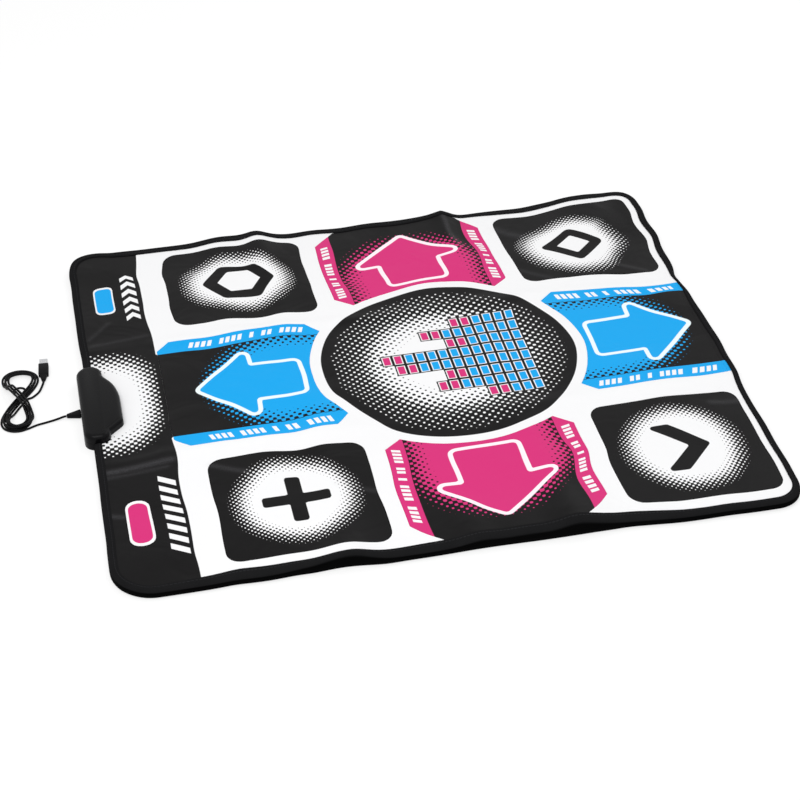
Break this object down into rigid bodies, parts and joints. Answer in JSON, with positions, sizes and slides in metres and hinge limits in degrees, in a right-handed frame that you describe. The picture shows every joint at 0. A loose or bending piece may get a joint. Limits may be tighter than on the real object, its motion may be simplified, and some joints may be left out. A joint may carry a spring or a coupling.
{
  "type": "dance mat controller",
  "caption": "Soft foam dance mat with arrow and corner step zones that press in, small start and select zones, a control box clamped on its edge and a bundled cable with a plug.",
  "frame": {"origin": "centre of the mat's underside, on the floor, where the diagonals of its outline cross", "axes": "+X along the mat's long side, away from the control box; +Y along its short side; +Z up. A player faces the box, so the player's up is -X and the player's right is +Y"},
  "size_m": [1.0521, 0.813, 0.024],
  "materials": {
    "print_black": "soft PVC sheet with black print and white dots, satin",
    "print_white": "soft PVC sheet with white, black and coloured print, satin",
    "print_blue": "soft PVC sheet printed blue, satin",
    "print_pink": "soft PVC sheet printed pink, satin",
    "tape": "woven binding tape, matte",
    "foam_grey": "closed-cell foam",
    "foam_white": "open foam, perforated",
    "film": "clear polyester film with printed tracks",
    "carbon_film": "film printed with carbon ink",
    "rubber": "black moulded rubber, matte",
    "cable": "black soft cable jacket, satin",
    "box": "black moulded ABS, satin",
    "board": "green solder mask",
    "chip": "black moulded package",
    "steel": "plated steel",
    "brass": "gold-plated contact",
    "plastic": "white moulded plastic"
  },
  "bodies": {
    "base": {"printed_cover": "print_white", "spacer_foam": "foam_white", "lower_contact_film": "film", "foam_pad": "foam_grey", "nonslip_sheet": "rubber", "edge_tape": "tape", "up_spacer_pad": "foam_white", "down_spacer_pad": "foam_white", "left_spacer_pad": "foam_white", "right_spacer_pad": "foam_white", "up_right_spacer_pad": "foam_white", "up_left_spacer_pad": "foam_white", "down_right_spacer_pad": "foam_white", "down_left_spacer_pad": "foam_white", "start_spacer_pad": "foam_white", "select_spacer_pad": "foam_white", "upper_shell": "box", "lower_shell": "box", "case_screw_1": "steel", "case_screw_2": "steel", "case_screw_3": "steel", "case_screw_4": "steel", "circuit_board": "board", "controller_chip": "chip", "crystal": "steel", "capacitor": "chip", "film_clamp_bar": "plastic", "wire_ribbon": "plastic", "strain_relief": "rubber", "cable_lead": "cable", "cable_hank": "cable", "cable_tail": "cable", "plug_overmould": "rubber", "plug_shell": "steel", "plug_tongue": "plastic", "plug_contact_1": "brass", "plug_contact_2": "brass", "plug_contact_3": "brass", "plug_contact_4": "brass"},
    "up_zone": {"up_step_pad": "print_blue", "up_contact_patch": "carbon_film"},
    "down_zone": {"down_step_pad": "print_blue", "down_contact_patch": "carbon_film"},
    "left_zone": {"left_step_pad": "print_pink", "left_contact_patch": "carbon_film"},
    "right_zone": {"right_step_pad": "print_pink", "right_contact_patch": "carbon_film"},
    "up_right_zone": {"up_right_step_pad": "print_black", "up_right_contact_patch": "carbon_film"},
    "up_left_zone": {"up_left_step_pad": "print_black", "up_left_contact_patch": "carbon_film"},
    "down_right_zone": {"down_right_step_pad": "print_black", "down_right_contact_patch": "carbon_film"},
    "down_left_zone": {"down_left_step_pad": "print_black", "down_left_contact_patch": "carbon_film"},
    "start_zone": {"start_step_pad": "print_blue", "start_contact_patch": "carbon_film"},
    "select_zone": {"select_step_pad": "print_pink", "select_contact_patch": "carbon_film"}
  },
  "joints": [
    {"name": "up_press", "type": "slide", "parent": "base", "child": "up_zone", "axis": [0, 0, -1], "range_m": [0, 0.0015], "stiffness_N_per_m": 6000, "deforming": ["up_spacer_pad"]},
    {"name": "down_press", "type": "slide", "parent": "base", "child": "down_zone", "axis": [0, 0, -1], "range_m": [0, 0.0015], "stiffness_N_per_m": 6000, "deforming": ["down_spacer_pad"]},
    {"name": "left_press", "type": "slide", "parent": "base", "child": "left_zone", "axis": [0, 0, -1], "range_m": [0, 0.0015], "stiffness_N_per_m": 6000, "deforming": ["left_spacer_pad"]},
    {"name": "right_press", "type": "slide", "parent": "base", "child": "right_zone", "axis": [0, 0, -1], "range_m": [0, 0.0015], "stiffness_N_per_m": 6000, "deforming": ["right_spacer_pad"]},
    {"name": "up_right_press", "type": "slide", "parent": "base", "child": "up_right_zone", "axis": [0, 0, -1], "range_m": [0, 0.0015], "stiffness_N_per_m": 6000, "deforming": ["up_right_spacer_pad"]},
    {"name": "up_left_press", "type": "slide", "parent": "base", "child": "up_left_zone", "axis": [0, 0, -1], "range_m": [0, 0.0015], "stiffness_N_per_m": 6000, "deforming": ["up_left_spacer_pad"]},
    {"name": "down_right_press", "type": "slide", "parent": "base", "child": "down_right_zone", "axis": [0, 0, -1], "range_m": [0, 0.0015], "stiffness_N_per_m": 6000, "deforming": ["down_right_spacer_pad"]},
    {"name": "down_left_press", "type": "slide", "parent": "base", "child": "down_left_zone", "axis": [0, 0, -1], "range_m": [0, 0.0015], "stiffness_N_per_m": 6000, "deforming": ["down_left_spacer_pad"]},
    {"name": "start_press", "type": "slide", "parent": "base", "child": "start_zone", "axis": [0, 0, -1], "range_m": [0, 0.0015], "stiffness_N_per_m": 6000, "deforming": ["start_spacer_pad"]},
    {"name": "select_press", "type": "slide", "parent": "base", "child": "select_zone", "axis": [0, 0, -1], "range_m": [0, 0.0015], "stiffness_N_per_m": 6000, "deforming": ["select_spacer_pad"]}
  ]
}
